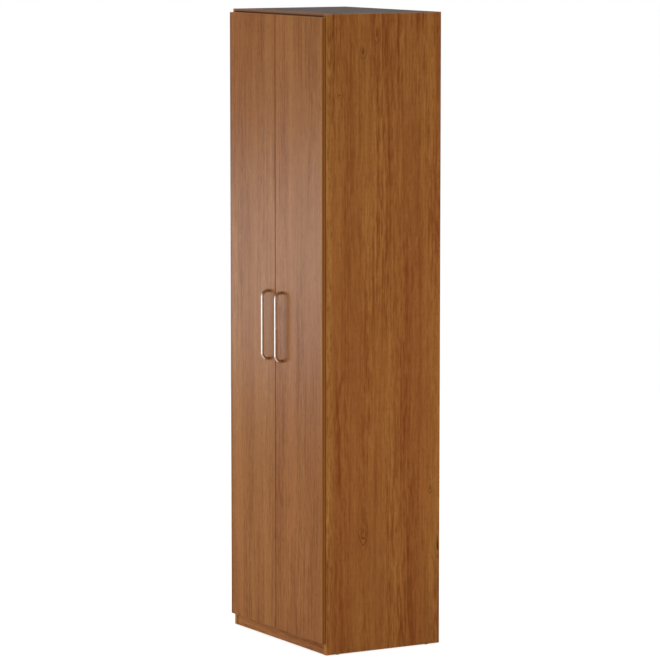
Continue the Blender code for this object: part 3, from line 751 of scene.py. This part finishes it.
SIDE_BROWNS = ((0.304, 0.1210, 0.0296, 1.0), (0.250, 0.0915, 0.0230, 1.0))
DOOR_BROWNS = ((0.356, 0.1495, 0.0465, 1.0), (0.306, 0.1235, 0.0363, 1.0))
# The top's front band: dark brown for its painted shadow line, and a lighter brown painted over the
# rest against the door's shadow.
TOP_SHADOW_LINE_BROWN = (0.100, 0.028, 0.0050, 1.0)
TOP_BAND_LIGHTENED = (0.270, 0.124, 0.062, 1.0)
DOOR_BAND = (0.163, 0.050, 0.0105, 1.0)
# Paler colour for the corners of a door's band, painted light at the back corner against the gap's
# shade.
DOOR_BAND_PALE_CORNERS = (0.232, 0.086, 0.0220, 1.0)
# Colour of the doors' top faces, painted lighter against the shade under the top panel.
DOOR_TOP_LIGHTENED = (0.62, 0.30, 0.13, 1.0)
SAPWOOD_WIDTH = 0.024
# The plinth stands back under the doors, in their shade, so its browns are the doors' browns painted
# lighter by this factor to cancel that shade.
PLINTH_LIGHTENING = 1.18
# The right door's browns are painted a little lighter than the left door's, to even out the soft box's
# falloff from left to right.
LEFT_DOOR_LIFT = 0.985
RIGHT_DOOR_LIFT = 1.035
LEFT_DOOR_RIM = 0.45


def lifted(browns, lift):
    """Both browns, lighter by the same factor."""
    return tuple((lift * red, lift * green, lift * blue, 1.0) for red, green, blue, _ in browns)


side_board = {
    "grain": UPRIGHT,
    "browns": SIDE_BROWNS,
    "band": ("y-",),
    "raw": ("y+", "z-"),
    "dust_and_sheen_faces": ("z+",),
    "sapwood": SAPWOOD_WIDTH,
}
cross_board = dict(grain=ALONG_X, browns=SIDE_BROWNS, band=("y-",), raw=("y+", "x-", "x+"))
lightened_plinth_browns = lifted(DOOR_BROWNS, PLINTH_LIGHTENING)
door_board = {
    "grain": FRONT_UPRIGHT,
    "streaks": 0.36,
    "fibres": 0.4,
    "band_colour": DOOR_BAND,
    "band_pale_corners": DOOR_BAND_PALE_CORNERS,
    "lightened_top": DOOR_TOP_LIGHTENED,
}
left_door = dict(door_board, browns=lifted(DOOR_BROWNS, LEFT_DOOR_LIFT), rim=LEFT_DOOR_RIM)
right_door = dict(door_board, browns=lifted(DOOR_BROWNS, RIGHT_DOOR_LIFT))
BOARD_FINISHES = {
    "side_panel_left": dict(side_board, knots=LEFT_SIDE_KNOTS),
    "side_panel_right": dict(side_board, knots=RIGHT_SIDE_KNOTS),
    "top_panel": dict(cross_board, band_colour=TOP_SHADOW_LINE_BROWN, band_lightened=TOP_BAND_LIGHTENED, dust_and_sheen_faces=("z+",)),
    "bottom_panel": cross_board,
    "hat_shelf": cross_board,
    "plinth_board": dict(grain=PLINTH_GRAIN, browns=lightened_plinth_browns, raw=("z-", "x-", "x+")),
    "door_left": dict(left_door, band=("x-", "z-")),
    "door_right": dict(right_door, band=("x+", "z-")),
}
boards = {
    node: laminate(f"laminate_{node}", node, **settings) for node, settings in BOARD_FINISHES.items()
}
print(len(boards), "boards have a laminate")

# %% [markdown]
# ## Metals
# Chrome, nickel and zinc are all bare metal to the shader, and differ in colour and polish. None of
# them is even: handling leaves fine scuffs. One group gives the scuffs and a faint cloudiness, and
# each metal decides how much of them shows in its roughness and colour.

# %% Metal group and materials
METAL_CLOUDS = (60.0, 60.0, 60.0)
METAL_CLOUD_ENDS = (0.3, 0.7)
SCUFFS = (2600.0, 2600.0, 240.0)
SCUFF_ENDS = (0.55, 0.75)
PLAIN_RIM = (1.0, 1.0, 1.0)
WARM_RIM = (0.8, 0.76, 0.72)
METALS = {
    # bright and dull colour, lowest roughness, what clouds and scuffs add to it, fineness, rim tint
    "handle_chrome": ((0.69, 0.655, 0.62), (0.64, 0.605, 0.57), 0.045, 0.02, 0.02, 1.0, WARM_RIM),
    "rail_chrome": ((0.83, 0.83, 0.83), (0.76, 0.76, 0.77), 0.08, 0.05, 0.10, 1.0, PLAIN_RIM),
    "socket_zinc": ((0.45, 0.45, 0.455), (0.395, 0.395, 0.40), 0.38, 0.10, 0.10, 1.6, PLAIN_RIM),
    "hinge_nickel": ((0.82, 0.80, 0.76), (0.72, 0.70, 0.66), 0.38, 0.10, 0.10, 2.0, PLAIN_RIM),
    "screw_zinc": ((0.60, 0.60, 0.61), (0.48, 0.48, 0.50), 0.30, 0.12, 0.10, 3.0, PLAIN_RIM),
}

metal_group, start, end = new_group(
    "metal_scuffs",
    {**PLACE, "Fineness": ("Float", 1.0)},
    {"Cloud": "Float", "Scuff": "Float"},
)
sized = {0: start["Place"], "Scale": start["Fineness"]}
sized = add(metal_group, "VectorMath", sized, operation="SCALE").outputs[0]
cloud = remap(metal_group, noise(metal_group, sized, METAL_CLOUDS, 3.0), *METAL_CLOUD_ENDS)
scuff = remap(metal_group, noise(metal_group, sized, SCUFFS, 2.0), *SCUFF_ENDS)
metal_group.links.new(cloud, end["Cloud"])
metal_group.links.new(scuff, end["Scuff"])


def metal(name, bright, dull, polish, cloudy, scuffed, fineness, rim):
    """Bare metal: polish is its lowest roughness, cloudy and scuffed add to it in patches."""
    material, tree, shader = new_material(name)
    feeds = {"Place": object_place(tree), "Fineness": fineness}
    marks = add(tree, "Group", feeds, node_tree=metal_group).outputs
    colour = blend(tree, marks["Cloud"], (*bright, 1.0), (*dull, 1.0))
    rough = sums(tree, "MULTIPLY_ADD", marks["Cloud"], cloudy, polish)
    rough = sums(tree, "MULTIPLY_ADD", marks["Scuff"], scuffed, rough)
    shader.inputs["Metallic"].default_value = 1.0
    shader.inputs["Specular Tint"].default_value = (*rim, 1.0)
    tree.links.new(colour, shader.inputs["Base Color"])
    tree.links.new(rough, shader.inputs["Roughness"])
    return material


metals = {name: metal(name, *settings) for name, settings in METALS.items()}
print(len(metals), "metals are ready")

# %% [markdown]
# ## Hardboard, plastic and rubber
# The back is thin hardboard, brown and fibrous. The glides are moulded plastic, and the door bumpers
# are soft and milky. Each gets its own fine noise, and broad clouds as well, because a large sheet is
# never of one even brown.

# %% Hardboard, plastic and rubber
CLOUD_SIZE = 75.0
CLOUD_SHARE = 0.3
SPECKLE_ENDS = (0.36, 0.64)
SPECKLE_ROUGHNESS = 0.12
SPECKLE_RELIEF = 0.5
SPECKLE_GLOSS = 0.12
SPECKLED = {
    # two colours, cycles in a metre, roughness, relief in metres
    "brown_hardboard": ((0.19, 0.085, 0.034), (0.115, 0.05, 0.02), (300.0, 300.0, 420.0), 0.6, 0.0004),
    "glide_plastic": ((0.05, 0.03, 0.02), (0.03, 0.018, 0.012), (700.0, 700.0, 700.0), 0.45, 0.0001),
    "bumper_rubber": ((0.50, 0.50, 0.48), (0.40, 0.40, 0.39), (500.0, 500.0, 500.0), 0.4, 0.0001),
}


def speckled(name, first, second, cycles, roughness, relief):
    """Two colours mixed by fine noise and broad clouds. The fine noise gives the relief in metres."""
    material, tree, shader = new_material(name)
    place = object_place(tree)
    grainy = noise(tree, place, cycles, 4.0)
    cloudy = noise(tree, place, tuple(count / CLOUD_SIZE for count in cycles), 3.0)
    cloudy = sums(tree, "MULTIPLY", cloudy, CLOUD_SHARE)
    mixed = sums(tree, "MULTIPLY_ADD", grainy, 1.0 - CLOUD_SHARE, cloudy)
    mixed = remap(tree, mixed, *SPECKLE_ENDS)
    tree.links.new(blend(tree, mixed, (*first, 1.0), (*second, 1.0)), shader.inputs["Base Color"])
    rough = sums(tree, "MULTIPLY_ADD", mixed, SPECKLE_ROUGHNESS, roughness)
    tree.links.new(rough, shader.inputs["Roughness"])
    raised = {"Height": grainy, "Distance": relief, "Strength": SPECKLE_RELIEF}
    tree.links.new(add(tree, "Bump", raised).outputs[0], shader.inputs["Normal"])
    shader.inputs["Specular IOR Level"].default_value = SPECKLE_GLOSS
    return material


speckles = {name: speckled(name, *settings) for name, settings in SPECKLED.items()}
print(len(speckles), "speckled finishes are ready")

# %% [markdown]
# ## Dressing the CAD pieces
# Every CAD piece comes with the name of its material slot. The boards have a laminate each, made for
# their own corners, and the other pieces get the finish of their slot.

# %% Dress the CAD nodes
slot_finishes = {**metals, **speckles, "back_hardboard": speckles["brown_hardboard"]}
subparts = frame["record"]["subparts"]
for row in subparts:
    node = row["node"]
    mesh = nodes[node].data
    mesh.materials.clear()
    mesh.materials.append(boards.get(node) or slot_finishes[row["material_slot"]])
print(len(subparts), "CAD nodes are dressed")

# %% [markdown]
# ## Bow handles
# A bow handle is one bent bar: out from the door, round a bend, along the door, and back. The centre
# line lies in an upright plane, so its tangent turns only in that plane. A circle is carried along
# the line, and shrinks a little at both feet, where the real bar's ends are chamfered.

# %% Handles
HANDS = ("left", "right")
HANDLE_SIDES = 40
BEND_RADIUS = 0.017
BEND_STEPS = 14
FOOT_CHAMFER = 0.0006


def bow_line(foot_y, bar_y, low_z, high_z):
    """Points and tangents of the bow in (Y, Z): leg, quarter circle, bar, quarter circle, leg."""
    turn = np.linspace(0, pi / 2, BEND_STEPS)
    bend_y = bar_y + BEND_RADIUS * (1 - np.sin(turn))
    rise = BEND_RADIUS * (1 - np.cos(turn))
    leg_y = foot_y - np.array([0.0, FOOT_CHAMFER, 2 * FOOT_CHAMFER])
    lower = np.stack([np.r_[leg_y, bend_y], low_z + np.r_[0 * leg_y, rise]], axis=-1)
    upper = np.stack([lower[::-1, 0], high_z - (lower[::-1, 1] - low_z)], axis=-1)
    heading = np.stack([-np.cos(turn), np.sin(turn)], axis=-1)
    lower_heading = np.vstack([np.tile([-1.0, 0.0], (len(leg_y), 1)), heading])
    upper_heading = lower_heading[::-1] * [-1.0, 1.0]
    return np.vstack([lower, upper]), np.vstack([lower_heading, upper_heading])


def bow_handle(name, node):
    """Round bar: point(s, t) = line(s) + radius(s) * (cos t * X axis + sin t * normal(s))."""
    low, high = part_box(node)
    radius = (high.x - low.x) / 2
    middle = (high.x + low.x) / 2
    line, heading = bow_line(high.y, low.y + radius, low.z + radius, high.z - radius)
    radii = np.full(len(line), radius)
    radii[[0, -1]] -= FOOT_CHAMFER
    turn = np.linspace(0, 2 * pi, HANDLE_SIDES, endpoint=False)
    across = radii[:, None] * np.cos(turn)
    out = radii[:, None] * np.sin(turn)
    y = line[:, :1] - out * heading[:, 1:]
    z = line[:, 1:] + out * heading[:, :1]
    rings = np.stack([middle + across, y, z], axis=-1)
    return skin(name, rings, start=rings[0].mean(0), end=rings[-1].mean(0))


handles = []
for hand in HANDS:
    handle = bow_handle(f"bow_handle_{hand}", f"handle_{hand}")
    dress(handle, f"door_{hand}_body", "handle_chrome", metals["handle_chrome"], f"handle_{hand}")
    handles.append(handle)

# %% [markdown]
# ## Light for the handles
# Light linking says which objects a lamp lights. The two soft boxes leave out the handles, which
# would mirror them as broad white patches, and the card lamp lights nothing else, for one thin bright
# line along each bar. The handles still throw their shadows on the doors.

# %% Light links
glare_free = bpy.data.collections.new("glare_free_handles")
handles_only = bpy.data.collections.new("handles_only")
lamps["left_soft_box"].light_linking.receiver_collection = glare_free
lamps["right_soft_box"].light_linking.receiver_collection = glare_free
lamps["handle_card"].light_linking.receiver_collection = handles_only
for handle in handles:
    glare_free.objects.link(handle)
    handles_only.objects.link(handle)
for linked in glare_free.collection_objects:
    linked.light_linking.link_state = "EXCLUDE"

# %% [markdown]
# ## Clothes rail
# The rail is a tube, so its surface closes on itself: along the outside, round the rim, back along
# the bore and round the other rim. Revolving that closed profile gives a tube with a real wall.

# %% Rail
RAIL_SIDES = 64
RAIL_WALL = 0.0015
RAIL_EASE = RAIL_WALL / 4


def tube(name, node):
    """Hollow bar along Y: point(s, t) = (r(s) cos t, y(s), r(s) sin t) about the node's middle."""
    low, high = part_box(node)
    outer = (high.x - low.x) / 2
    inner = outer - RAIL_WALL
    near, far = low.y + RAIL_EASE, high.y - RAIL_EASE
    profile = np.array(
        [
            (near, outer),
            (far, outer),
            (high.y, outer - RAIL_EASE),
            (high.y, inner + RAIL_EASE),
            (far, inner),
            (near, inner),
            (low.y, inner + RAIL_EASE),
            (low.y, outer - RAIL_EASE),
        ]
    )
    reach, radii = profile.T[:, :, None]
    turn = np.linspace(0, 2 * pi, RAIL_SIDES, endpoint=False)
    x = (low.x + high.x) / 2 + radii * np.cos(turn)
    z = (low.z + high.z) / 2 + radii * np.sin(turn)
    return skin(name, np.stack([x, reach + 0 * turn, z], axis=-1), loop=True)


rail = tube("hanging_rail", "clothes_rail")
dress(rail, "carcass", "rail_chrome", metals["rail_chrome"], "clothes_rail")

# %% [markdown]
# ## Hinges and rail sockets
# The hinges are pressed from sheet steel and the rail's sockets are cast, so none of their edges is
# sharp: each one catches a thin line of light. Their CAD shapes are right, so they needn't be drawn
# again. A CAD mesh is loose triangles, so a copy is merged first, and then a Bevel modifier rounds
# every outer edge that turns by more than 40 degrees. Inner corners stay as they are, because rounding
# would fill them up, and the hinge's arm turns close to its cup. Hardened normals keep the flat faces
# flat, so that only the rounded edges shade from one face to the next.

# %% Hinges and sockets
SAME_PLACE = 1e-6
EASED_TURN = radians(40)
EASED_SEGMENTS = 2
EASED_WIDTHS = {"cup": 0.0003, "arm": 0.0003, "plate": 0.0003, "socket": 0.0008}
HINGES = (1, 2, 3, 4)
ROWS = ("front", "rear")


def eased(name, node, width):
    """Merged copy of a CAD mesh: each sharp outer edge gives way to an arc of the given width."""
    copy = bmesh.new()
    copy.from_mesh(nodes[node].data)
    for face in copy.faces:
        face.smooth = True
    bmesh.ops.remove_doubles(copy, verts=copy.verts, dist=SAME_PLACE)
    rounded = copy.edges.layers.float.new("bevel_weight_edge")
    for edge in copy.edges:
        turn = edge.calc_face_angle_signed(0.0)
        edge[rounded] = float(turn > EASED_TURN)
        edge.smooth = turn > -EASED_TURN
    mesh = bpy.data.meshes.new(name)
    copy.to_mesh(mesh)
    copy.free()
    obj = bpy.data.objects.new(name, mesh)
    scene.collection.objects.link(obj)
    rounding = obj.modifiers.new("eased_edges", "BEVEL")
    rounding.width = width
    rounding.segments = EASED_SEGMENTS
    rounding.limit_method = "WEIGHT"
    rounding.use_clamp_overlap = False
    rounding.miter_outer = "MITER_ARC"
    rounding.harden_normals = True
    return obj


for hand in HANDS:
    for kind, body in (("cup", f"door_{hand}_body"), ("arm", "carcass"), ("plate", "carcass")):
        for number in HINGES:
            node = f"hinge_{kind}_{hand}_{number}"
            piece = eased(f"pressed_{kind}_{hand}_{number}", node, EASED_WIDTHS[kind])
            dress(piece, body, "hinge_nickel", metals["hinge_nickel"], node)
for row in ROWS:
    piece = eased(f"cast_socket_{row}", f"rail_socket_{row}", EASED_WIDTHS["socket"])
    dress(piece, "carcass", "rail_chrome", metals["socket_zinc"], f"rail_socket_{row}")

# %% [markdown]
# ## A lathe
# Small round fittings are turned on a lathe: a profile of radius against height, carried round an
# axis. One function does it for any axis, and can dent the first rings of the profile.

# %% Lathe
AXES = {"x": (1, 2, 0), "y": (2, 0, 1), "z": (0, 1, 2)}


def corners_of(node):
    """Low and high corner of a CAD node's box, as arrays."""
    low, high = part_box(node)
    return np.array(low), np.array(high)


def lathe(name, axis, middle, radii, heights, sides, dent=None, dented=0):
    """Turned piece: point(i, t) = middle + radius(i) (cos t, sin t) across and height(i) along.

    The profile starts and ends on the axis. Dent takes the two places across and gives what it adds
    to the height, for the first pole and the given number of rings after it.
    """
    turn = np.linspace(0, 2 * pi, sides, endpoint=False)
    across = radii[1:-1, None] * np.cos(turn)
    up = radii[1:-1, None] * np.sin(turn)
    along = heights[1:-1, None] + 0 * turn
    tips = heights[[0, -1]]
    if dent is not None:
        along[:dented] += dent(across[:dented], up[:dented])
        tips[0] += dent(0.0, 0.0)
    first, second, third = AXES[axis]
    rings = np.zeros((*across.shape, 3)) + middle
    rings[..., first] += across
    rings[..., second] += up
    rings[..., third] += along
    poles = np.zeros((2, 3)) + middle
    poles[:, third] += tips
    return skin(name, rings, start=poles[0], end=poles[1])


print("lathe turns about", ", ".join(AXES))

# %% [markdown]
# ## Screws
# The screws have a domed head with a cross recess, for a screwdriver. The recess is a dent in the
# dome: a place sinks where it is near one of the two bars of the cross, and not past their ends.

# %% Screws
SCREW_SIDES = 48
DOME_STEPS = 22
DOME_HEIGHT = 0.62
DOME_FULLNESS = 0.96
SKIRT_DEPTH = 0.94
UNDERSIDE_WIDTH = 0.97
SHANK_SHARE = 0.86
TIP_WIDTH = 0.35
RECESS_REACH = 0.62
RECESS_HALF_WIDTH = 0.16
RECESS_DEPTH = 0.45
RECESS_SLOPE = 0.10
RECESS_LIMIT = 0.9
HANDLE_SCREW = {"axis": "y", "sign": 1, "shank": 0.002, "head": 0.002}
RAIL_SCREW = {"axis": "z", "sign": -1, "shank": 0.0016, "head": 0.0018}


def screw(name, node, axis, sign, shank, head):
    """Pan screw along an axis, its head at the sign end, with a dome of part of an ellipse."""
    low, high = corners_of(node)
    first, _, third = AXES[axis]
    middle = (low + high) / 2
    length = (high - low)[third]
    radius = (high - low)[first] / 2
    middle[third] = (high if sign > 0 else low)[third]
    dome = np.linspace(0, 1, DOME_STEPS)
    crown = DOME_HEIGHT * head * (1 - np.sqrt(1 - dome**2 * DOME_FULLNESS))
    head_radii = np.r_[dome * radius, radius, UNDERSIDE_WIDTH * radius]
    head_depths = np.r_[crown, SKIRT_DEPTH * head, head]
    radii = np.r_[head_radii, shank, shank, TIP_WIDTH * shank, 0.0]
    depths = np.r_[head_depths, head, SHANK_SHARE * length, length, length]

    def cross(across, up):
        """Depth of the recess: the smaller of the margins inside the bars' width and length."""
        near = np.minimum(np.abs(across), np.abs(up)) / radius
        far = np.maximum(np.abs(across), np.abs(up)) / radius
        inside = np.minimum(RECESS_HALF_WIDTH - near, RECESS_REACH - far) / RECESS_SLOPE
        on_head = np.hypot(across, up) < RECESS_LIMIT * radius
        return -sign * RECESS_DEPTH * head * np.clip(inside + 0.5, 0, 1) * on_head

    return lathe(name, axis, middle, radii, -sign * depths, SCREW_SIDES, cross, DOME_STEPS - 1)


for hand in HANDS:
    for level in ("lower", "upper"):
        node = f"handle_screw_{level}_{hand}"
        piece = screw(f"handle_bolt_{level}_{hand}", node, **HANDLE_SCREW)
        dress(piece, f"door_{hand}_body", "screw_zinc", metals["screw_zinc"], node)
    for row in ROWS:
        node = f"rail_screw_{row}_{hand}"
        piece = screw(f"rail_fixing_{row}_{hand}", node, **RAIL_SCREW)
        dress(piece, "carcass", "screw_zinc", metals["screw_zinc"], node)

# %% [markdown]
# ## Glides and bumpers
# Four glides are nailed under the side panels, so that the raw edges stay off a wet floor. A soft
# stud on the front edge of the top takes the knock of each door. Both are turned on the same lathe.

# %% Glides and bumpers
GLIDE_PAD = 0.0017
GLIDE_RIM = 0.35 * GLIDE_PAD
GLIDE_SIDES = 40
NAIL_RADIUS = 0.0012
NAIL_POINT = 2 * NAIL_RADIUS
STUD_SIDES = 32
STUD_FOOT_WIDTH = 0.96
STUD_WALL = 0.25
STUD_TURN = 0.97
quarter = np.linspace(0, pi / 2, 8)


def glide(name, node):
    """Nailed pad: a flat foot, a rim of two quarter circles, a flat top and a pointed nail."""
    low, high = corners_of(node)
    middle = (low + high) / 2
    middle[2] = low[2]
    flat = (high - low)[0] / 2 - GLIDE_RIM
    nail_top = high[2] - low[2]
    rim_out = GLIDE_RIM * np.sin(quarter)
    rim_in = GLIDE_RIM * np.cos(quarter)
    radii = np.r_[0.0, flat + rim_out, flat + rim_in, NAIL_RADIUS, NAIL_RADIUS, 0.0]
    pad = np.r_[0.0, GLIDE_RIM - rim_in, GLIDE_PAD - GLIDE_RIM + rim_out, GLIDE_PAD]
    heights = np.r_[pad, nail_top - NAIL_POINT, nail_top]
    return lathe(name, "z", middle, radii, heights, GLIDE_SIDES)


def bumper(name, node):
    """Soft stud: a flat foot, a short wall and a dome of a quarter ellipse, which the door meets."""
    low, high = corners_of(node)
    middle = (low + high) / 2
    middle[1] = high[1]
    radius = (high - low)[0] / 2
    height = high[1] - low[1]
    turn = STUD_TURN * quarter[1:]
    dome = (STUD_WALL + (1 - STUD_WALL) * np.sin(turn)) * height
    radii = np.r_[0.0, STUD_FOOT_WIDTH * radius, radius, radius * np.cos(turn), 0.0]
    heights = np.r_[0.0, 0.0, STUD_WALL * height, dome, height]
    return lathe(name, "y", middle, radii, -heights, STUD_SIDES)


for hand in HANDS:
    for row in ROWS:
        node = f"floor_glide_{row}_{hand}"
        piece = glide(f"nailed_glide_{row}_{hand}", node)
        dress(piece, "carcass", "glide_plastic", speckles["glide_plastic"], node)
    piece = bumper(f"soft_stud_{hand}", f"door_bumper_{hand}")
    dress(piece, "carcass", "bumper_rubber", speckles["bumper_rubber"], f"door_bumper_{hand}")
